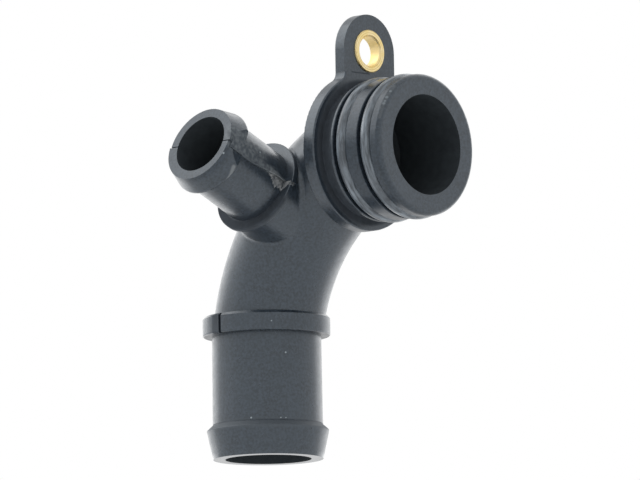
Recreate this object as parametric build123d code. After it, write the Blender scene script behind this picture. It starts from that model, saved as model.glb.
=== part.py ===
from build123d import *
import math
import os

# Coolant pipe, in millimetres. The origin lies on the spigot's axis in the plane of the flange's
# seating face, +X runs along the spigot to its nose and +Z runs up from the spigot to the bolt ear.

# Spigot: a neck beside the flange, then three lands of one radius with a groove between each two.
land_radius = 20.5
spigot_wall = 6.0
neck_depth = 1.9
neck_length = 4.5
root_fillet = 0.4
root_land = 1.0
middle_land = 4.4
nose_land = 3.7
land_edge = 0.3
nose_edge = 1.5

# O-rings. Each stands proud of the lands, clear of its groove's floor and of the wall on the nose side,
# and leaves play on the other side.
ring_section = 4.0
ring_proud = 0.52
ring_floor_gap = 0.02
ring_wall_gap = 0.1
ring_play = 0.8

# Flange behind the seating face, wider than the lands by the same overhang all round.
flange_overhang = 2.1
flange_thickness = 4.2
flange_edge = 0.4

# Bushing moulded into the ear.
bushing_bore = 4.25
bushing_wall = 1.95
bushing_outer_chamfer = 0.25
bushing_bore_chamfer = 0.45

# Bolt ear, with its face set back above a step that clears the flange.
ear_wall = 4.5
bolt_y = 2.4
bolt_rise = 7.2
ear_corner = 3.0
ear_relief = 0.5
ear_step_gap = 0.3

# Elbow: one arc that leaves the upright main hose end and ends at the seating plane, a little under
# the spigot's axis.
elbow_bore = 12.5
elbow_wall = 3.4
elbow_reach = 40.2
elbow_drop = 0.36
bend_radius = 60.0
bore_taper = 2.5

# Main hose end, straight down from the elbow. Heights are measured up from its mouth.
main_end_length = 28.4
main_mouth_wall = 3.45
main_wall = 3.35
main_draft = 0.15
main_crest_height = 8.3
main_barb_rise = 1.75
main_barb_back = 1.6
main_crest_edge = 0.5
main_collar_height = 35.7
main_collar_width = 5.8
main_collar_rise = 2.65
main_collar_bevel = 0.8
main_collar_edge = 0.5

# Slot in the main collar and the block beside it, which keeps the collar's full radius higher up.
seam_slot_width = 1.0
seam_slot_depth = 1.3
seam_slot_back = 1.4
seam_block_width = 4.1
seam_block_height = 5.35

# Branch to the small hose. It leaves the elbow's centre line branch_setback behind the flange, towards
# -Y and up by branch_tilt. Its barb is placed from its mouth and its collar from the elbow's side.
branch_setback = 21.0
branch_tilt = 23.5
branch_length = 46.9
branch_bore = 8.8
branch_mouth_wall = 2.6
branch_wall = 2.5
branch_crest_at = 5.3
branch_barb_rise = 1.7
branch_barb_flat = 0.9
branch_crest_edge = 0.5
branch_collar_standoff = 3.5
branch_collar_width = 2.0
branch_collar_rise = 2.8
branch_collar_edge = 0.3
branch_boss_rise = 1.9

# Parting plane of the branch: its lower half lies shifted and a slit crosses the mouth's face. Towards
# the spigot the barb has a flat there, and a raised land covers the plane. The land keeps its depth
# below the plane for a stretch, then runs out, and its upper edge comes down to a low end at the collar.
parting_shift = 0.5
parting_flat_rise = 0.1
parting_land_from = 1.0
parting_land_level = 10.0
parting_land_runout = 21.5
parting_land_above = 1.8
parting_land_end = 0.5
parting_land_below = 1.7
parting_land_proud = 0.45
parting_slit_width = 0.3
parting_slit_depth = 0.5

# Blends where the boss and the flange's back meet the elbow. The first is never wider than the elbow
# stands out beside the boss.
boss_blend = 2.0
flange_blend = 1.0

# Size of the blocks that divide the branch at its parting plane, larger than any part of it.
block = 120.0

# How near to a surface the points of an edge lie that belongs to it.
on_surface = 0.02


def turned(points, start, direction, rounds=()):
    """Solid of revolution about the line from start along direction.

    points are (distance along the line, radius) pairs in order, closed along the axis by their own
    ends. rounds are (index of a point, rounding radius) pairs.
    """
    axis_dir = Vector(*direction).normalized()
    side = Vector(0, 1, 0) if abs(axis_dir.Y) < 0.5 else Vector(1, 0, 0)
    normal = axis_dir.cross(side)
    plane = Plane(origin=start, x_dir=axis_dir, z_dir=normal)
    profile = make_face(Polyline(*points, close=True))
    for index, radius in rounds:
        corner = Vector(*points[index])
        near = min(profile.vertices(), key=lambda v: (Vector(v.X, v.Y) - corner).length)
        profile = fillet(near, radius)
    return revolve(plane * profile, Axis(start, tuple(axis_dir)), 360)


# Radii that follow from the bores and walls.
spigot_bore = land_radius - spigot_wall
neck_radius = land_radius - neck_depth
flange_radius = land_radius + flange_overhang
bushing_radius = bushing_bore + bushing_wall
ear_radius = bushing_radius + ear_wall
bolt_z = flange_radius + bolt_rise
elbow_outside = elbow_bore + elbow_wall
main_mouth_radius = elbow_bore + main_mouth_wall
main_tube_high_radius = elbow_bore + main_wall
main_tube_low_radius = main_tube_high_radius + main_draft
main_crest_radius = main_tube_low_radius + main_barb_rise
main_collar_radius = main_tube_high_radius + main_collar_rise
branch_mouth_radius = branch_bore + branch_mouth_wall
branch_tube_radius = branch_bore + branch_wall
branch_crest_radius = branch_tube_radius + branch_barb_rise
branch_collar_radius = branch_tube_radius + branch_collar_rise
branch_boss_radius = branch_tube_radius + branch_boss_rise

# Stations of the spigot along +X.
groove_width = ring_wall_gap + ring_section + ring_play
groove_one = neck_length + root_land
land_one = groove_one + groove_width
groove_two = land_one + middle_land
land_two = groove_two + groove_width
nose = land_two + nose_land
floor_radius = land_radius + ring_proud - ring_section - ring_floor_gap

# Plate: the round flange and the ear in one outline, drawn on the YZ plane.
yz = Plane(origin=(-flange_thickness, 0, 0), x_dir=(0, 1, 0), z_dir=(1, 0, 0))
outline = Circle(flange_radius)
outline += Pos(bolt_y, bolt_z) * Circle(ear_radius)
outline += Pos(bolt_y, bolt_z / 2) * Rectangle(2 * ear_radius, bolt_z)
corners = [
    v for v in outline.vertices()
    if abs(math.hypot(v.X, v.Y) - flange_radius) < on_surface
    and abs(abs(v.X - bolt_y) - ear_radius) < on_surface
]
outline = fillet(corners, ear_corner)
plate = extrude(yz * outline, flange_thickness)
plate = fillet(plate.edges().filter_by(Plane.YZ), flange_edge)
relief = Pos(-ear_relief, 0, flange_radius + ear_step_gap) * Box(
    block, block, block, align=(Align.MIN, Align.CENTER, Align.MIN)
)
bushing_core = turned(
    [(-flange_thickness, 0), (-flange_thickness, bushing_radius), (0, bushing_radius), (0, 0)],
    (0, bolt_y, bolt_z), (1, 0, 0),
)

# Spigot outside, one turned profile from inside the flange to the nose.
spigot = turned(
    [
        (-flange_thickness, 0),
        (-flange_thickness, land_radius),
        (0, land_radius),
        (0, neck_radius),
        (neck_length, neck_radius),
        (neck_length, land_radius),
        (groove_one, land_radius),
        (groove_one, floor_radius),
        (land_one, floor_radius),
        (land_one, land_radius),
        (groove_two, land_radius),
        (groove_two, floor_radius),
        (land_two, floor_radius),
        (land_two, land_radius),
        (nose, land_radius),
        (nose, 0),
    ],
    (0, 0, 0), (1, 0, 0),
    [(3, root_fillet)] + [(k, land_edge) for k in (5, 6, 9, 10, 13)] + [(14, nose_edge)],
)

# Elbow outside, from the middle of the main collar to the seating plane.
main_x = -elbow_reach
bend_start_z = -math.sqrt(bend_radius ** 2 - (bend_radius - elbow_reach) ** 2) - elbow_drop
main_mouth_z = bend_start_z - main_end_length
turn_axis = Axis((main_x + bend_radius, 0, bend_start_z), (0, 1, 0))
turn = math.degrees(math.acos(1 - elbow_reach / bend_radius))
bend_start = Plane(origin=(main_x, 0, bend_start_z), x_dir=(-1, 0, 0), z_dir=(0, 0, 1))
collar_foot = Pos(main_x, 0, main_mouth_z + main_collar_height)
above_collar = collar_foot * Pos(0, 0, main_collar_width / 2) * Box(
    block, block, block, align=(Align.CENTER, Align.CENTER, Align.MIN)
)
elbow = revolve(bend_start * Circle(elbow_outside), turn_axis, turn) & above_collar

# Main hose end: collar, tube and barb down to the mouth.
main_end = turned(
    [
        (0, 0),
        (0, main_mouth_radius),
        (main_crest_height, main_crest_radius),
        (main_crest_height + main_barb_back, main_tube_low_radius),
        (main_collar_height, main_tube_high_radius),
        (main_collar_height, main_collar_radius),
        (main_collar_height + main_collar_width - main_collar_bevel, main_collar_radius),
        (main_collar_height + main_collar_width, main_collar_radius - main_collar_bevel),
        (main_collar_height + main_collar_width, 0),
    ],
    (main_x, 0, main_mouth_z), (0, 0, 1),
    [(2, main_crest_edge), (5, main_collar_edge)],
)
upright = (Align.CENTER, Align.CENTER, Align.MIN)
collar_disc = collar_foot * Cylinder(main_collar_radius, seam_block_height, align=upright)
seam_block = collar_disc & collar_foot * Pos(-seam_slot_back, 0, main_collar_edge) * Box(
    seam_block_width, block, block, align=(Align.MAX, Align.MAX, Align.MIN)
)
slot = collar_foot * Pos(-seam_slot_back, 0, 0) * Box(
    seam_slot_width, block, main_collar_width, align=(Align.CENTER, Align.MAX, Align.MIN)
)
slot -= collar_foot * Cylinder(main_collar_radius - seam_slot_depth, main_collar_width, align=upright)

# Branch frame: inward along its axis, up square to it in the parting plane's normal.
tilt = math.radians(branch_tilt)
inward = Vector(0, math.cos(tilt), -math.sin(tilt))
upward = Vector(0, math.sin(tilt), math.cos(tilt))
branch_x = -flange_thickness - branch_setback
from_turn_axis = main_x + bend_radius - branch_x
branch_root = Vector(branch_x, 0, bend_start_z + math.sqrt(bend_radius ** 2 - from_turn_axis ** 2))
branch_mouth = branch_root - inward * branch_length
parting = Plane(origin=branch_mouth, x_dir=(1, 0, 0), z_dir=upward)

# Branch outside: barb, tube and collar, in an upper and a lower half shifted along the parting plane.
collar_back = branch_length - elbow_outside - branch_collar_standoff
branch_collar_at = collar_back - branch_collar_width
branch_outside = turned(
    [
        (0, 0),
        (0, branch_mouth_radius),
        (branch_crest_at, branch_crest_radius),
        (branch_crest_at + branch_barb_flat, branch_crest_radius),
        (branch_crest_at + branch_barb_flat, branch_tube_radius),
        (branch_collar_at, branch_tube_radius),
        (branch_collar_at, branch_collar_radius),
        (collar_back, branch_collar_radius),
        (collar_back, 0),
    ],
    tuple(branch_mouth), tuple(inward),
    [(2, branch_crest_edge), (3, branch_crest_edge), (6, branch_collar_edge), (7, branch_collar_edge)],
)
upper_block = parting * Box(block, block, block, align=(Align.CENTER, Align.CENTER, Align.MIN))
lower_block = parting * Box(block, block, block, align=(Align.CENTER, Align.CENTER, Align.MAX))
land_side = Plane(origin=branch_mouth, x_dir=inward, z_dir=(1, 0, 0))
land_outline = make_face(Polyline(
    (parting_land_from, -parting_land_below),
    (parting_land_level, -parting_land_below),
    (parting_land_runout, 0),
    (branch_collar_at, 0),
    (branch_collar_at, parting_land_end),
    (parting_land_from, parting_land_above),
    close=True,
))
land_reach = branch_tube_radius + parting_land_proud
parting_land = extrude(land_side * Pos(0, 0, branch_bore) * land_outline, land_reach - branch_bore)
past_flat = parting * Pos(branch_tube_radius + parting_flat_rise, 0, 0) * Box(
    block, branch_crest_at + branch_barb_flat, block, align=(Align.MIN, Align.MIN, Align.CENTER)
)
upper_half = branch_outside & upper_block
lower_half = Pos(-parting_shift, 0, 0) * (branch_outside & lower_block)
branch = (upper_half + lower_half - past_flat) + parting_land
branch_boss = turned(
    [
        (collar_back - branch_collar_width / 2, 0),
        (collar_back - branch_collar_width / 2, branch_boss_radius),
        (branch_length, branch_boss_radius),
        (branch_length, 0),
    ],
    tuple(branch_mouth), tuple(inward),
)
slit = parting * Box(
    block, 2 * parting_slit_depth, parting_slit_width, align=(Align.CENTER, Align.CENTER, Align.CENTER)
)


def off_elbow(point):
    """Distance of point from the elbow's outer wall."""
    from_arc = math.hypot(point.X - main_x - bend_radius, point.Z - bend_start_z) - bend_radius
    return math.hypot(from_arc, point.Y) - elbow_outside


def off_boss(point):
    """Distance of point from the boss's wall."""
    arm = Vector(point.X, point.Y, point.Z) - branch_mouth
    return (arm - inward * arm.dot(inward)).length - branch_boss_radius


def off_flange_back(point):
    """Distance of point from the back plane of the flange."""
    return point.X + flange_thickness


def seams(solid, other):
    """Edges of solid along which the elbow's wall meets the other surface."""
    return [
        e for e in solid.edges()
        if all(abs(off_elbow(e @ t)) < on_surface and abs(other(e @ t)) < on_surface for t in (0.1, 0.5, 0.9))
    ]


# Waterways.
spigot_way = turned(
    [
        (-bore_taper, 0),
        (-bore_taper, elbow_bore),
        (0, spigot_bore),
        (nose, spigot_bore),
        (nose, 0),
    ],
    (0, 0, 0), (1, 0, 0),
)
elbow_way = revolve(bend_start * Circle(elbow_bore), turn_axis, turn)
main_way = turned(
    [(0, 0), (0, elbow_bore), (main_end_length, elbow_bore), (main_end_length, 0)],
    (main_x, 0, main_mouth_z), (0, 0, 1),
)
branch_way = turned(
    [(0, 0), (0, branch_bore), (branch_length, branch_bore), (branch_length, 0)],
    tuple(branch_mouth), tuple(inward),
)

pipe = plate - relief - bushing_core
pipe += spigot
pipe += elbow
pipe += main_end
pipe += seam_block
pipe -= slot
pipe += branch_boss
pipe = fillet(seams(pipe, off_boss), min(boss_blend, elbow_outside - branch_boss_radius))
pipe = fillet(seams(pipe, off_flange_back), flange_blend)
pipe += branch
pipe -= spigot_way + elbow_way + main_way
pipe -= branch_way
pipe -= slit

bushing = turned(
    [
        (-flange_thickness, bushing_bore + bushing_bore_chamfer),
        (-flange_thickness, bushing_radius - bushing_outer_chamfer),
        (-flange_thickness + bushing_outer_chamfer, bushing_radius),
        (-bushing_outer_chamfer, bushing_radius),
        (0, bushing_radius - bushing_outer_chamfer),
        (0, bushing_bore + bushing_bore_chamfer),
        (-bushing_bore_chamfer, bushing_bore),
        (-flange_thickness + bushing_bore_chamfer, bushing_bore),
    ],
    (0, bolt_y, bolt_z), (1, 0, 0),
)

ring_radius = ring_section / 2
ring_centre = floor_radius + ring_floor_gap + ring_radius
ring_back = ring_wall_gap + ring_radius
along_x = Rot(0, 90, 0)
inner_ring = Pos(land_one - ring_back, 0, 0) * along_x * Torus(ring_centre, ring_radius)
outer_ring = Pos(land_two - ring_back, 0, 0) * along_x * Torus(ring_centre, ring_radius)

os.makedirs("parts", exist_ok=True)
export_step(pipe, "parts/pipe_body.step")
export_step(bushing, "parts/brass_bushing.step")
export_step(inner_ring, "parts/inner_o_ring.step")
export_step(outer_ring, "parts/outer_o_ring.step")
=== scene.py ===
import bpy
import numpy as np
from mathutils import Matrix, Vector


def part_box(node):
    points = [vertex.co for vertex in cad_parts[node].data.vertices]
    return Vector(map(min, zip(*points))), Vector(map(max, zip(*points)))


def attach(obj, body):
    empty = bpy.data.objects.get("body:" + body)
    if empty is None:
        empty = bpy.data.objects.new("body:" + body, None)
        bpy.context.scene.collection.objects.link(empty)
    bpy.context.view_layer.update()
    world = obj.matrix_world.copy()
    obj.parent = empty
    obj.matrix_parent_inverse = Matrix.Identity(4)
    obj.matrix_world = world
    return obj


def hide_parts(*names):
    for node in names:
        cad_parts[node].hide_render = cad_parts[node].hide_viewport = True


# The looks of a moulded coolant pipe: glass-filled nylon body, rubber O-rings, brass bushing.
# Lengths in this file are in millimetres until they go into a mesh, a material or the camera. The
# studio's own lengths are in metres.
MM = 0.001

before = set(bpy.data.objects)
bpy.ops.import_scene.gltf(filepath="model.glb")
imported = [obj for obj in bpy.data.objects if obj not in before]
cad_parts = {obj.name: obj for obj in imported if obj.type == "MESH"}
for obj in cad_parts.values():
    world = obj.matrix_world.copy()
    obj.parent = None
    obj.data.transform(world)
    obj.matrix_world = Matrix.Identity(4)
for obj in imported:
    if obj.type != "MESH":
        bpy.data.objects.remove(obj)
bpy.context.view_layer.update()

# Camera: a long lens a little below the pipe, on the side of its branch and spigot. Its axes, its focal
# length in pixels and its line of sight were fitted to the photograph.
CAMERA_X = np.array([0.7394, 0.6730, -0.0162])
CAMERA_Y = np.array([0.1016, -0.0878, 0.9909])
CAMERA_Z = np.array([0.6655, -0.7344, -0.1333])
FOCUS_PIXELS = 12000.0
DISTANCE = 3455.0
SIGHT = np.array([1.9, 0.0, 0.0])
SIGHT_PIXEL = np.array([371.27, 152.12])
PICTURE = np.array([640.0, 480.0])
SENSOR_WIDTH = 36.0

# Places that model.glb gives: the spigot's nose, the main mouth and the middle of the bushing.
PIPE_LOW, PIPE_HIGH = (np.array(corner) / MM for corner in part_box("pipe_body"))
SPIGOT_NOSE = PIPE_HIGH[0]
MAIN_MOUTH_Z = PIPE_LOW[2]
BUSHING_MIDDLE = np.mean([np.array(corner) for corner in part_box("brass_bushing")], axis=0) / MM

# Spigot, along +X from the flange: its bore, its lands, the corner of its nose and its two O-rings.
ALONG_X = np.array([1.0, 0.0, 0.0])
SPIGOT_ROOT = -2.5
SPIGOT_BORE = 14.5
LAND_RADIUS = 20.5
MIDDLE_LAND_X = 12.6
NOSE_LAND_X = 21.0
NOSE_RIM_X = SPIGOT_NOSE - 0.7
NOSE_RIM = LAND_RADIUS - 0.3
NECK_FOOT_X = 0.7
NECK_FOOT = 19.2
RING_RADIUS = 19.0
EAR_ROOT = 23.0

# Elbow and main hose end, which stands upright below the elbow's arc.
ALONG_Z = np.array([0.0, 0.0, 1.0])
MAIN_X = -40.2
BEND_RADIUS = 60.0
BEND_START_Z = -57.0
ELBOW_BORE = 12.5
MAIN_FACE = 14.3
MAIN_SHOULDER_Z = -76.3
MAIN_SHOULDER = 16.9
MAIN_TUBE = 16.05

# Branch: it rises out of the elbow towards -Y, and its lower half is moulded a little out of line.
BRANCH_ROOT = np.array([-25.2, 0.0, -17.313])
BRANCH_TILT = np.radians(23.5)
BRANCH_LENGTH = 46.9
BRANCH_BORE = 8.8
BRANCH_FACE = 10.1
BRANCH_TUBE = 11.3
BRANCH_CREST = 13.0
BRANCH_COLLAR = 14.1
BRANCH_COLLAR_AT = 25.5
BRANCH_COLLAR_END = 27.5
LAND_PROUD = 0.45
LOWER_SHIFT = -0.5
BRANCH_IN = np.array([0.0, np.cos(BRANCH_TILT), -np.sin(BRANCH_TILT)])
BRANCH_UP = np.array([0.0, np.sin(BRANCH_TILT), np.cos(BRANCH_TILT)])
BRANCH_MOUTH = BRANCH_ROOT - BRANCH_IN * BRANCH_LENGTH


def on_branch(inward, across, below):
    """Points from the branch's mouth: inward along its axis, across towards +X, below its parting plane."""
    inward, across, below = np.broadcast_arrays(*(np.asarray(v, float) for v in (inward, across, below)))
    return (BRANCH_MOUTH + inward[..., None] * BRANCH_IN + across[..., None] * ALONG_X
            - below[..., None] * BRANCH_UP)


def lower_wall(inward, below, radius):
    """Points on the branch's shifted lower half where its wall has that radius: by Pythagoras, the wall
    is the root of radius squared less below squared away from the half's own middle."""
    return on_branch(inward, LOWER_SHIFT + np.sqrt(np.asarray(radius) ** 2 - np.asarray(below) ** 2), below)


def nose_rim(degrees):
    """Points on the corner of the spigot's nose, by angle above the level on the branch's side: radius
    times the angle's cosine towards -Y and its sine towards +Z."""
    angle = np.radians(degrees)
    ahead = np.full(angle.shape, NOSE_RIM_X)
    return np.stack([ahead, -NOSE_RIM * np.cos(angle), NOSE_RIM * np.sin(angle)], axis=1)


def linear(code):
    """Linear colour with alpha from an sRGB hex value: each channel through the sRGB curve."""
    s = np.array([int(code[i:i + 2], 16) for i in (1, 3, 5)]) / 255
    return (*np.where(s <= 0.04045, s / 12.92, ((s + 0.055) / 1.055) ** 2.4), 1.0)


def add(tree, kind, inputs=None, output=0, **settings):
    """One output of a new node of that kind, with its settings made and its inputs set to values or linked
    from other outputs. Sockets without a name of their own go by number: a Mix of colours takes its share
    in 0 and its colours in 6 and 7, and gives output 2; a Map Range takes its value in 0, the span that
    it comes from in 1 and 2 and the one that it goes to in 3 and 4."""
    node = tree.nodes.new("ShaderNode" + kind)
    for name, value in settings.items():
        setattr(node, name, value)
    for socket, value in (inputs or {}).items():
        if isinstance(value, bpy.types.NodeSocket):
            tree.links.new(value, node.inputs[socket])
        else:
            node.inputs[socket].default_value = value
    return node.outputs[output]


def material(name):
    """A new material with its node tree, the tree's Principled shader and its Object coordinates."""
    made = bpy.data.materials.new(name)
    made.use_nodes = True
    tree = made.node_tree
    return made, tree, tree.nodes["Principled BSDF"], add(tree, "TexCoord", output="Object")


def faded(tree, away, reach, ragged):
    """1 up to half the reach in mm and 0 from the reach on. The ragged value between 0 and 1 adds up to
    four tenths of the reach to the distance away, so that the edge is eaten into."""
    eaten = add(tree, "Math", {0: ragged, 1: 0.4 * reach * MM, 2: away}, operation="MULTIPLY_ADD")
    return add(tree, "MapRange", {0: eaten, 1: reach * MM, 2: 0.5 * reach * MM})


def near_line(tree, place, start, end, reach, ragged=0.0):
    """1 on the straight line from start to end in mm, faded to 0 at its reach. The foot of each point on
    the line is its dot product with the line's direction, held between the ends."""
    start, end = np.array(start, float) * MM, np.array(end, float) * MM
    along = end - start
    scaled = tuple(along / (along @ along))
    arm = add(tree, "VectorMath", {0: place, 1: tuple(start)}, operation="SUBTRACT")
    share = add(tree, "VectorMath", {0: arm, 1: scaled}, "Value", operation="DOT_PRODUCT")
    held = add(tree, "MapRange", {0: share})
    foot = add(tree, "VectorMath", {0: tuple(along), "Scale": held}, operation="SCALE")
    away = add(tree, "VectorMath", {0: arm, 1: foot}, "Value", operation="DISTANCE")
    return faded(tree, away, reach, ragged)


def near_circle(tree, place, centre, axis, radius, reach, ragged=0.0):
    """1 on the circle of that radius in mm round the axis through centre, faded to 0 at its reach. A
    point's distance from it is that of (distance along the axis, distance off the axis) from (0, radius)."""
    arm = add(tree, "VectorMath", {0: place, 1: tuple(MM * v for v in centre)}, operation="SUBTRACT")
    ahead = add(tree, "VectorMath", {0: arm, 1: tuple(axis)}, "Value", operation="DOT_PRODUCT")
    foot = add(tree, "VectorMath", {0: tuple(axis), "Scale": ahead}, operation="SCALE")
    out = add(tree, "VectorMath", {0: arm, 1: foot}, "Value", operation="DISTANCE")
    flat = add(tree, "CombineXYZ", {0: ahead, 1: out})
    away = add(tree, "VectorMath", {0: flat, 1: (0.0, radius * MM, 0.0)}, "Value", operation="DISTANCE")
    return faded(tree, away, reach, ragged)


def most(tree, masks, share=1.0):
    """The largest of several masks at each point, times share."""
    whole = masks[0]
    for mask in masks[1:]:
        whole = add(tree, "Math", {0: whole, 1: mask}, operation="MAXIMUM")
    return add(tree, "Math", {0: whole, 1: share}, operation="MULTIPLY")


# Glass-filled nylon 66, injection moulded: dark blue-grey and half glossy, mottled by the glass fibres at
# its skin, with faint clouding and slow waves where the wall sank. The fibres are 0.2 to 0.4 mm long, and
# their mottle is drawn at 0.7 mm so that it shows.
nylon, tree, shader, place = material("nylon_glass_filled_moulded")
clouds = add(tree, "TexNoise", {"Vector": place, "Scale": 1 / (9 * MM), "Detail": 4.0})
grain = add(tree, "TexNoise", {"Vector": place, "Scale": 1 / (0.7 * MM), "Detail": 3.0})
blotch = add(tree, "TexNoise", {"Vector": place, "Scale": 1 / (2.2 * MM), "Detail": 3.0})
waves = add(tree, "TexNoise", {"Vector": place, "Scale": 1 / (14 * MM), "Detail": 1.0})
shade = add(tree, "Mix", {0: add(tree, "MapRange", {0: clouds, 1: 0.3, 2: 0.7}), 6: linear("#1a2026"),
                          7: linear("#242c33")}, 2, data_type="RGBA")
shade = add(tree, "Mix", {0: add(tree, "MapRange", {0: grain, 1: 0.36, 2: 0.66}), 6: shade,
                          7: linear("#333c46")}, 2, data_type="RGBA")

# The main barb's shoulder is paler all round: a painted lighter tone that stands in for the light it
# reflects.
shoulder = near_circle(tree, place, (MAIN_X, 0, MAIN_SHOULDER_Z), ALONG_Z, MAIN_SHOULDER, 1.9)
shade = add(tree, "Mix", {0: shoulder, 6: shade, 7: linear("#484e54")}, 2, data_type="RGBA")

# Scuffs in two shades mark the land along the branch's parting, wide near the mouth and narrower on. Their
# paler shade is partly painted light, standing in for the light that the flat land reflects.
land = most(tree, [
    near_line(tree, place, on_branch(1.0, 12.0, -2.6), on_branch(13.5, 11.6, -2.6), 5.5, blotch),
    near_line(tree, place, on_branch(1.0, 12.0, 0.6), on_branch(21.0, 11.8, -0.3), 2.6, blotch),
], 0.95)
scuffs = add(tree, "TexNoise", {"Vector": place, "Scale": 1 / (1.1 * MM), "Detail": 4.0})
scuffed_and_painted_light = add(tree, "Mix", {0: add(tree, "MapRange", {0: scuffs, 1: 0.4, 2: 0.64}), 6: linear("#3b4147"),
                            7: linear("#62686c")}, 2, data_type="RGBA")
shade = add(tree, "Mix", {0: land, 6: shade, 7: scuffed_and_painted_light}, 2, data_type="RGBA")

# Rubbed places, paler and dull: three on and just behind the small barb, one along the foot of the land up
# to the collar and, less strong, a stretch of the nose's rim. Their pale tone is partly wear and partly
# painted highlight on those crests and edges. Each rub has its two ends and its reach.
rubs_and_highlights = (
    (lower_wall(5.0, 6.1, 12.9), lower_wall(6.4, 9.2, BRANCH_CREST), 1.0),
    (on_branch(6.3, 12.3, 5.2), on_branch(6.4, 11.8, 6.6), 0.8),
    (on_branch(7.6, 11.3, 4.4), on_branch(7.4, 11.1, 5.6), 0.6),
    (on_branch(18.6, 11.7, 0.4), on_branch(25.3, 11.4, 0.4), 1.1),
)
rim = nose_rim([18.0, 29.0, 40.0, 51.0])
worn_and_highlit_rim = [near_line(tree, place, start, end, 0.75, blotch) for start, end in zip(rim[:-1], rim[1:])]
rubbed_and_highlit = most(tree, [
    *(near_line(tree, place, start, end, reach, grain) for start, end, reach in rubs_and_highlights),
    most(tree, worn_and_highlit_rim, 0.3),
], 0.7)
# The pale tone: wear and painted highlight.
shade = add(tree, "Mix", {0: rubbed_and_highlit, 6: shade, 7: linear("#7a7e80")}, 2, data_type="RGBA")

# Painted shade, dark where little light falls: on the lower half of the small collar's front, beside the
# main collar's slot, in the corner of the flange and neck, at the foot of the main barb's shoulder and at
# the ear's root.
arm = add(tree, "VectorMath", {0: place, 1: tuple(BRANCH_MOUTH * MM)}, operation="SUBTRACT")
height = add(tree, "VectorMath", {0: arm, 1: tuple(BRANCH_UP)}, "Value", operation="DOT_PRODUCT")
low_half = add(tree, "MapRange", {0: height, 1: -2 * MM, 2: -6 * MM})
collar_front = near_circle(tree, place, on_branch(BRANCH_COLLAR_AT, LOWER_SHIFT, 0.0), BRANCH_IN, 13.0, 2.4)
slot_side = near_line(tree, place, (-43.6, -18.2, -44.0), (-43.6, -18.2, -49.6), 2.4)
shoulder_foot = near_circle(tree, place, (MAIN_X, 0, MAIN_SHOULDER_Z + 0.8), ALONG_Z, MAIN_TUBE, 0.5, blotch)
ear_root = near_line(tree, place, (-0.4, -5.0, EAR_ROOT), (-0.4, 2.2, EAR_ROOT), 0.5)
painted_shade = most(tree, [
    add(tree, "Math", {0: low_half, 1: collar_front}, operation="MULTIPLY"),
    most(tree, [slot_side], 0.85),
    near_circle(tree, place, (NECK_FOOT_X, 0, 0), ALONG_X, NECK_FOOT, 3.0),
    most(tree, [shoulder_foot], 0.6),
    most(tree, [ear_root], 0.95),
])
painted_shade_tone = add(tree, "Mix", {0: blotch, 6: linear("#14181d"), 7: linear("#3a414a")}, 2, data_type="RGBA")
shade = add(tree, "Mix", {0: painted_shade, 6: shade, 7: painted_shade_tone}, 2, data_type="RGBA")

# Specks of dust and pale glass at the surface, and fainter chips on the nose's rim. The first speck, at the
# small mouth's edge, is a painted glint. Each is a dot with its place and its reach, which is a fraction of
# a millimetre.
specks = (
    (lower_wall(0.3, 4.1, 11.5), 0.35), (on_branch(13.3, 10.8, -3.2), 0.3), ((-26.6, -12.6, -47.2), 0.22),
    ((-26.1, -7.3, -56.05), 0.3), ((-30.0, -11.7, -71.5), 0.25), ((-47.0, -13.2, -38.5), 0.25),
    ((-33.4, -14.5, -74.9), 0.3), ((-26.9, -8.9, -75.0), 0.22), ((-26.1, -7.6, -75.0), 0.2),
)
chips = zip(nose_rim([30.9, 33.4, 37.4, 44.4]), (0.52, 0.4, 0.56, 0.48))
DOT_LENGTH = 0.05
dust_and_glint = most(tree, [
    most(tree, [near_line(tree, place, at, np.add(at, DOT_LENGTH), reach) for at, reach in specks], 0.7),
    most(tree, [near_line(tree, place, at, np.add(at, DOT_LENGTH), reach) for at, reach in chips], 0.28),
])
shade = add(tree, "Mix", {0: dust_and_glint, 6: shade, 7: linear("#a9b4ba")}, 2, data_type="RGBA")
tree.links.new(shade, shader.inputs["Base Color"])

# Half glossy all over. Rubbed places and places of painted shade are dull, and the main mouth's face is as
# smooth as the steel that shut the mould there.
satin = add(tree, "MapRange", {0: blotch, 1: 0.3, 2: 0.7, 3: 0.27, 4: 0.36})
mouth = near_circle(tree, place, (MAIN_X, 0.0, MAIN_MOUTH_Z), ALONG_Z, MAIN_FACE, 2.6)
smoothed = add(tree, "MapRange", {0: mouth, 3: 1.0, 4: 0.4})
satin = add(tree, "Math", {0: satin, 1: smoothed}, operation="MULTIPLY")
dull = most(tree, [most(tree, [rubbed_and_highlit, land, shoulder], 0.62), most(tree, [painted_shade], 0.9)])
rough = add(tree, "Math", {0: satin, 1: dull}, operation="MAXIMUM")
tree.links.new(rough, shader.inputs["Roughness"])

# The lands beside the O-rings, the small mouth's face and the main barb's shoulder shine less, under a
# dull film.
filmed = most(tree, [
    shoulder,
    near_circle(tree, place, (MIDDLE_LAND_X, 0, 0), ALONG_X, LAND_RADIUS, 3.6),
    near_circle(tree, place, (NOSE_LAND_X, 0, 0), ALONG_X, LAND_RADIUS, 2.6),
    most(tree, [near_circle(tree, place, BRANCH_MOUTH, BRANCH_IN, BRANCH_FACE, 3.0)], 0.7),
])
tree.links.new(add(tree, "MapRange", {0: filmed, 3: 0.5, 4: 0.3}), shader.inputs["Specular IOR Level"])
shader.inputs["IOR"].default_value = 1.7
shader.inputs["Specular Tint"].default_value = linear("#eef7ff")
fine = add(tree, "Bump", {"Strength": 0.2, "Distance": 0.05 * MM, "Height": grain})
slow = add(tree, "Bump", {"Strength": 0.25, "Distance": 0.4 * MM, "Height": waves, "Normal": fine})
tree.links.new(slow, shader.inputs["Normal"])

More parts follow.
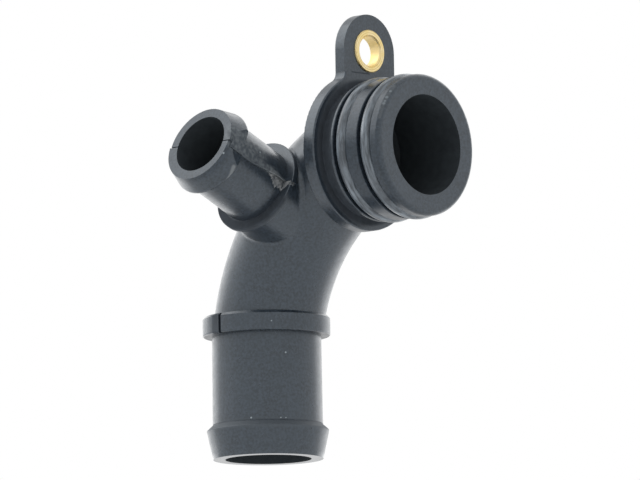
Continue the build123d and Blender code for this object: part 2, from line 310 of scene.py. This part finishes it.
# Flash of the same nylon, squeezed out thin at the mould's parting: whitened, dull and torn.
flash, tree, shader, place = material("nylon_flash_torn")
torn = add(tree, "TexNoise", {"Vector": place, "Scale": 1 / (1.3 * MM), "Detail": 3.0})
shade = add(tree, "Mix", {0: add(tree, "MapRange", {0: torn, 1: 0.36, 2: 0.66}), 6: linear("#4b5055"),
                          7: linear("#8e9091")}, 2, data_type="RGBA")
tree.links.new(shade, shader.inputs["Base Color"])
shader.inputs["Roughness"].default_value = 0.62
frayed = add(tree, "Bump", {"Strength": 0.5, "Distance": 0.2 * MM, "Height": torn})
tree.links.new(frayed, shader.inputs["Normal"])

# The same nylon where the core pins were drawn: matt, and painted paler than the body to stand in for the
# light that reaches into the bore.
bore, tree, shader, place = material("nylon_cored_bore")
drawn = add(tree, "TexNoise", {"Vector": place, "Scale": 1 / (2.5 * MM), "Detail": 3.0})
shade = add(tree, "Mix", {0: add(tree, "MapRange", {0: drawn, 1: 0.3, 2: 0.7}), 6: linear("#33383c"),
                          7: linear("#3b4145")}, 2, data_type="RGBA")
tree.links.new(shade, shader.inputs["Base Color"])
shader.inputs["Roughness"].default_value = 0.8
shader.inputs["Specular IOR Level"].default_value = 0.12

# EPDM rubber, moulded: dark, under a smeared grey film of assembly grease that is drawn out along the ring.
# The film's pale streaks are also a painted sheen, standing in for the ring's wet highlights. The film's
# coordinates are the distance round the ring, shortened to an eighth, and the place along X.
rubber, tree, shader, place = material("epdm_rubber_greased")
parts = add(tree, "SeparateXYZ", {0: place}).node.outputs
angle = add(tree, "Math", {0: parts["Y"], 1: parts["Z"]}, operation="ARCTAN2")
round_ring = add(tree, "Math", {0: angle, 1: RING_RADIUS * MM / 8}, operation="MULTIPLY")
unrolled = add(tree, "CombineXYZ", {"X": round_ring, "Y": parts["X"]})
film = add(tree, "TexNoise", {"Vector": unrolled, "Scale": 1 / (0.9 * MM), "Detail": 5.0, "Roughness": 0.65})
patches = add(tree, "TexNoise", {"Vector": place, "Scale": 1 / (7 * MM), "Detail": 2.0})
streaks = add(tree, "MapRange", {0: film, 1: 0.42, 2: 0.6})
amount = add(tree, "MapRange", {0: patches, 1: 0.3, 2: 0.6, 3: 0.4, 4: 1.0})
grease_and_sheen = add(tree, "Math", {0: streaks, 1: amount}, operation="MULTIPLY")
shade = add(tree, "Mix", {0: grease_and_sheen, 6: linear("#424950"), 7: linear("#7f8992")}, 2, data_type="RGBA")
tree.links.new(shade, shader.inputs["Base Color"])
tree.links.new(add(tree, "MapRange", {0: grease_and_sheen, 3: 0.4, 4: 0.2}), shader.inputs["Roughness"])
shader.inputs["IOR"].default_value = 1.55
smeared = add(tree, "Bump", {"Strength": 0.4, "Distance": 0.12 * MM, "Height": film})
tree.links.new(smeared, shader.inputs["Normal"])

# Brass, turned on a lathe: pale gold, with shallow rings round its axis that the facing tool left, each
# painted a little darker as painted shade of the ring. Such rings are 0.1 to 0.2 mm apart, and are drawn
# 0.65 mm apart so that they show.
brass, tree, shader, place = material("brass_turned")
arm = add(tree, "VectorMath", {0: place, 1: tuple(MM * v for v in BUSHING_MIDDLE)}, operation="SUBTRACT")
square = add(tree, "VectorMath", {0: arm, 1: (0.0, 1.0, 1.0)}, operation="MULTIPLY")
radius = add(tree, "VectorMath", {0: square}, "Value", operation="LENGTH")
phase = add(tree, "Math", {0: radius, 1: 2 * np.pi / (0.65 * MM)}, operation="MULTIPLY")
turns = add(tree, "Math", {0: phase}, operation="SINE")
stain = add(tree, "TexNoise", {"Vector": place, "Scale": 1 / (3 * MM), "Detail": 3.0})
shade = add(tree, "Mix", {0: add(tree, "MapRange", {0: stain, 1: 0.35, 2: 0.7}), 6: linear("#efd894"),
                          7: linear("#fbecc2")}, 2, data_type="RGBA")
# Painted shade along each ring.
painted_ring_shade = add(tree, "MapRange", {0: turns, 1: 0.4, 2: 1.0, 3: 0.0, 4: 0.5})
shade = add(tree, "Mix", {0: painted_ring_shade, 6: shade, 7: linear("#b8974f")}, 2, data_type="RGBA")
tree.links.new(shade, shader.inputs["Base Color"])
shader.inputs["Metallic"].default_value = 1.0
rough = add(tree, "MapRange", {0: stain, 1: 0.3, 2: 0.7, 3: 0.52, 4: 0.62})
tree.links.new(rough, shader.inputs["Roughness"])
faced = add(tree, "Bump", {"Strength": 0.5, "Distance": 0.04 * MM, "Height": turns})
tree.links.new(faced, shader.inputs["Normal"])


def near_bore(points):
    """Whether each point lies on a wall of the waterway: no farther from the centre line of the spigot,
    the main end, the branch or the elbow than that bore's radius and a little slack, and between the
    bore's ends. The ends at a mouth stop short of its face."""
    slack, short = 0.05, 0.1

    def in_line(start, end, radius):
        """Whether each point lies in the straight bore from start to end, or within the slack of it."""
        span = np.subtract(end, start)
        length = np.linalg.norm(span)
        arm = points - start
        reached = arm @ span / length
        away = np.linalg.norm(arm - reached[:, None] * span / length, axis=1)
        return (away < radius + slack) & (reached > -slack) & (reached < length + slack)

    spigot = in_line((SPIGOT_ROOT, 0, 0), (SPIGOT_NOSE - short, 0, 0), SPIGOT_BORE)
    main = in_line((MAIN_X, 0, MAIN_MOUTH_Z + short), (MAIN_X, 0, BEND_START_Z + short), ELBOW_BORE)
    branch = in_line(BRANCH_MOUTH + short * BRANCH_IN, BRANCH_ROOT + short * BRANCH_IN, BRANCH_BORE)
    off_arc = np.hypot(points[:, 0] - MAIN_X - BEND_RADIUS, points[:, 2] - BEND_START_Z) - BEND_RADIUS
    in_bend = (points[:, 2] > BEND_START_Z) & (points[:, 0] < 0)
    elbow = in_bend & (np.hypot(off_arc, points[:, 1]) < ELBOW_BORE + slack)
    return spigot | main | branch | elbow


def steady(corners, normals):
    """The corner normals of triangles, with each one that leans more than 25 degrees off its own triangle
    replaced by the sum of the triangle's others. The cross product of two edges is the triangle's normal."""
    facing = np.cross(corners[:, 1] - corners[:, 0], corners[:, 2] - corners[:, 0])
    facing /= np.maximum(np.linalg.norm(facing, axis=1), 1e-15)[:, None]
    true = np.einsum("ijk,ik->ij", normals, facing) > np.cos(np.radians(25))
    others = (normals * true[..., None]).sum(axis=1)
    leaning = ~true & true.any(axis=1)[:, None]
    return np.where(leaning[..., None], others[:, None], normals).reshape(-1, 3)


def moulding(node, name):
    """A merged copy of a CAD node: points that round to the same micron become one, and each corner keeps
    the normal that the CAD surface has there, made steady. Faces on the waterway get the second material."""
    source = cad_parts[node].data
    places = np.empty(len(source.vertices) * 3, np.float32)
    source.vertices.foreach_get("co", places)
    corners = np.empty(len(source.loops), np.int32)
    source.loops.foreach_get("vertex_index", corners)
    normals = np.empty(len(source.loops) * 3, np.float32)
    source.corner_normals.foreach_get("vector", normals)
    places = places.reshape(-1, 3)
    microns = np.round(places * 1e6).astype(np.int64)
    _, first, joined = np.unique(microns, axis=0, return_index=True, return_inverse=True)
    triangles = joined.reshape(-1)[corners].reshape(-1, 3)
    a, b, c = triangles.T
    whole = (a != b) & (b != c) & (c != a)
    triangles = triangles[whole]
    made = bpy.data.meshes.new(name)
    made.from_pydata(places[first], [], triangles)
    made.materials.append(nylon)
    made.materials.append(bore)
    middles = places[first][triangles].mean(axis=1) / MM
    made.polygons.foreach_set("material_index", near_bore(middles).astype(np.int32))
    made.polygons.foreach_set("use_smooth", np.ones(len(triangles), bool))
    made.normals_split_custom_set(steady(places[first][triangles], normals.reshape(-1, 3, 3)[whole]))
    made.update()
    piece = bpy.data.objects.new(name, made)
    bpy.context.scene.collection.objects.link(piece)
    return piece


body = moulding("pipe_body", "moulded_pipe")
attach(body, "root")
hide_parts("pipe_body")


def new_piece(name, places, faces, finish):
    """A smooth shaded mesh of points in mm, riding the root."""
    made = bpy.data.meshes.new(name)
    made.from_pydata(places * MM, [], faces)
    made.materials.append(finish)
    made.polygons.foreach_set("use_smooth", np.ones(len(faces), bool))
    made.update()
    piece = bpy.data.objects.new(name, made)
    bpy.context.scene.collection.objects.link(piece)
    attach(piece, "root")
    return piece


def ring_faces(rings, around):
    """Quads that join each ring of points to the next, and one face that closes each end."""
    i, j = np.meshgrid(np.arange(rings - 1), np.arange(around), indexing="ij")
    a, b = i * around + j, i * around + (j + 1) % around
    quads = np.stack([a, b, b + around, a + around], axis=-1).reshape(-1, 4).tolist()
    last = (rings - 1) * around
    return quads + [list(range(around))[::-1], list(range(last, last + around))]


def bead(name, path, radius, finish):
    """A round bead along a path, which is first cut into even steps and smoothed by the mean of each point,
    taken twice, and its two neighbours. Each ring is a circle of the radius square to the path, and the
    radius shrinks to a tenth over the last twentieth of either end."""
    around = 10
    steps = np.linspace(0, 1, 120)
    chord = np.r_[0, np.cumsum(np.linalg.norm(np.diff(path, axis=0), axis=1))]
    line = np.stack([np.interp(steps, chord / chord[-1], path[:, k]) for k in range(3)], axis=1)
    line[1:-1] = (line[:-2] + 2 * line[1:-1] + line[2:]) / 4
    ahead = np.gradient(line, axis=0)
    ahead /= np.linalg.norm(ahead, axis=1)[:, None]
    side = np.cross(ahead, BRANCH_UP)
    side /= np.linalg.norm(side, axis=1)[:, None]
    over = np.cross(side, ahead)
    size = radius * np.clip(np.minimum(steps, 1 - steps) * 20, 0.1, 1)
    turn = np.arange(around) * 2 * np.pi / around
    circle = np.cos(turn)[None, :, None] * side[:, None] + np.sin(turn)[None, :, None] * over[:, None]
    places = line[:, None] + size[:, None, None] * circle
    return new_piece(name, places.reshape(-1, 3), ring_faces(len(steps), around), finish)


# The raised edge at the foot of the parting land, from near the mouth to the collar: how far in each point
# lies and how far below the parting.
EDGE_RADIUS = 0.17
edge_inward = np.array([1.0, 6.0, 10.0, 13.0, 16.6, 19.2, 21.5, 25.5])
edge_below = np.array([1.7, 1.7, 1.7, 1.26, 0.72, 0.34, 0.0, 0.0])
bead("parting_edge", on_branch(edge_inward, BRANCH_TUBE + LAND_PROUD, edge_below), EDGE_RADIUS, nylon)


def torn_film(name):
    """Flash folded down from the parting at the collar: a thin closed film that follows the tube, the
    collar's front and its rim in turn. Its upper edge lies just above the parting, and its lower edge is
    jagged, the sum of a slow profile and three sines of unlike pitch. Its lift off the wall is 0.22 mm
    and a product of two sines, faded out at every edge, less 0.04 mm, so that its edges dip into the
    wall. Its underside lies 0.3 mm inside the wall."""
    long_steps, down_steps = 150, 14
    along = np.linspace(0, 1, long_steps)[:, None]
    down = np.linspace(0, 1, down_steps)[None, :]
    upper, underside = -0.25, -0.3
    stations = [0, 0.22, 0.42, 0.58, 0.68, 0.78, 0.9, 1]
    profile = np.interp(along, stations, [0.3, 1.4, 3.1, 2.5, 2.9, 1.2, 1.1, 0.5])
    depth = profile + 0.16 * np.sin(61 * along) + 0.12 * np.sin(113 * along + 1)
    depth = depth + 0.09 * np.sin(197 * along + 2)
    below = upper + (depth - upper) * down
    # Along the path: the tube up to the collar, the collar's front outward, then its rim.
    legs = [0, 0.66, 0.86, 1]
    inward = np.interp(along, legs, [17.8, BRANCH_COLLAR_AT, BRANCH_COLLAR_AT, BRANCH_COLLAR_END - 0.3])
    wall = np.interp(along, legs, [BRANCH_TUBE, BRANCH_TUBE, BRANCH_COLLAR, BRANCH_COLLAR])
    edge = np.minimum(np.minimum(along, 1 - along) * 14, np.minimum(down, 1 - down) * 5).clip(0, 1)
    lift = edge * (0.22 + 0.12 * np.sin(37 * along + 3 * down) * np.sin(9 * down + 19 * along)) - 0.04
    # 1 where the film stands off along the radius, on the tube and the rim, and 0 where it stands off
    # along the branch's axis, on the collar's front.
    facing = np.interp(along, [0, 0.62, 0.68, 0.84, 0.88, 1], [1, 1, 0, 0, 1, 1])

    def sheet(off):
        """The film's points that far off the wall."""
        return lower_wall(inward + 0 * down - off * (1 - facing), below, wall + off * facing + 0 * down)

    places = np.concatenate([sheet(lift).reshape(-1, 3), sheet(lift * 0 + underside).reshape(-1, 3)])
    i, j = np.meshgrid(np.arange(long_steps - 1), np.arange(down_steps - 1), indexing="ij")
    a = i * down_steps + j
    one_side = long_steps * down_steps
    top = np.stack([a, a + down_steps, a + down_steps + 1, a + 1], axis=-1).reshape(-1, 4)
    low = top[:, ::-1] + one_side
    grid = np.arange(one_side).reshape(long_steps, down_steps)
    border = np.r_[grid[0], grid[1:, -1], grid[-1, -2::-1], grid[-2:0:-1, 0]]
    after = np.roll(border, -1)
    walls = np.stack([border, after, after + one_side, border + one_side], axis=-1)
    return new_piece(name, places, np.concatenate([top, low, walls]).tolist(), flash)


torn_film("collar_flash")

for node, finish in (("inner_o_ring", rubber), ("outer_o_ring", rubber), ("brass_bushing", brass)):
    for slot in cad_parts[node].material_slots:
        slot.material = finish

# Studio: a white tent. What the camera and gloss see of it is plain white, and it lights evenly.
world = bpy.data.worlds.new("white_tent")
bpy.context.scene.world = world
world.use_nodes = True
tree = world.node_tree
tree.nodes.clear()
ray = add(tree, "LightPath").node.outputs
seen = add(tree, "Math", {0: ray["Is Camera Ray"], 1: ray["Is Glossy Ray"]}, operation="MAXIMUM")
seen = add(tree, "Math", {0: seen, 1: ray["Is Transmission Ray"]}, operation="MAXIMUM")
lit = add(tree, "Background", {"Color": (1, 1, 1, 1), "Strength": 0.8})
shown = add(tree, "Background", {"Color": (1, 1, 1, 1), "Strength": 1.0})
tent = add(tree, "MixShader", {0: seen, 1: lit, 2: shown})
tree.links.new(tent, tree.nodes.new("ShaderNodeOutputWorld").inputs["Surface"])

# Lamps, each a soft rectangle: its name, place, power in watts, width and height in metres. The key is
# high on the left, and the two behind the pipe stand to either side, so that they edge its round walls.
PIPE_MIDDLE = Vector((-0.018, 0.0, -0.019))
LAMPS = (
    ("key_softbox", (-0.95, -0.55, 0.85), 7.0, 1.2, 1.2),
    ("left_edge_panel", (-1.29, 0.39, -0.12), 5.8, 1.15, 1.6),
    ("right_edge_panel", (-0.26, 1.33, 0.25), 7.7, 1.15, 2.3),
)
for name, place, power, width, height in LAMPS:
    data = bpy.data.lights.new(name, "AREA")
    data.energy, data.shape, data.size, data.size_y = power, "RECTANGLE", width, height
    made = bpy.data.objects.new(name, data)
    made.location = place
    made.rotation_euler = (Vector(place) - PIPE_MIDDLE).to_track_quat("Z", "Y").to_euler()
    made.visible_camera = False
    bpy.context.scene.collection.objects.link(made)

# Floor: matt white paper well below the pipe, out of the picture's own view. Gloss sees it as white as
# the tent, and the camera sees its own colour and the pipe's shadow.
FLOOR_Z = -1.0
FLOOR_HALF = 8.0
paper, tree, shader, place = material("white_paper_floor")
shader.inputs["Base Color"].default_value = linear("#fafafa")
shader.inputs["Roughness"].default_value = 0.9
glossy = add(tree, "LightPath", output="Is Glossy Ray")
white = add(tree, "Emission", {"Color": (1, 1, 1, 1), "Strength": 1.0})
tree.links.new(add(tree, "MixShader", {0: glossy, 1: shader.outputs[0], 2: white}),
               tree.nodes["Material Output"].inputs["Surface"])
floor_corners = [(x * FLOOR_HALF, y * FLOOR_HALF, FLOOR_Z) for x, y in ((-1, -1), (1, -1), (1, 1), (-1, 1))]
floor_mesh = bpy.data.meshes.new("floor")
floor_mesh.from_pydata(floor_corners, [], [(0, 1, 2, 3)])
floor_mesh.materials.append(paper)
floor = bpy.data.objects.new("floor", floor_mesh)
bpy.context.scene.collection.objects.link(floor)

# The camera stands on the line of sight through SIGHT and is turned so that SIGHT falls on its pixel.
camera_data = bpy.data.cameras.new("camera")
camera_data.sensor_width = SENSOR_WIDTH
camera_data.lens = FOCUS_PIXELS / PICTURE[0] * SENSOR_WIDTH
camera_data.clip_start, camera_data.clip_end = 0.1, 20.0
camera = bpy.data.objects.new("camera", camera_data)
bpy.context.scene.collection.objects.link(camera)
eye = SIGHT + CAMERA_Z * DISTANCE
off = (PICTURE / 2 - SIGHT_PIXEL) * DISTANCE / FOCUS_PIXELS
aim = SIGHT + CAMERA_X * off[0] - CAMERA_Y * off[1]
back = (eye - aim) / np.linalg.norm(eye - aim)
right = CAMERA_X - back * (CAMERA_X @ back)
right /= np.linalg.norm(right)
turn = np.eye(4)
turn[:3, 0], turn[:3, 1], turn[:3, 2], turn[:3, 3] = right, np.cross(back, right), back, eye * MM
camera.matrix_world = Matrix(turn.tolist())
bpy.context.scene.camera = camera
bpy.context.scene.view_settings.view_transform = "Standard"
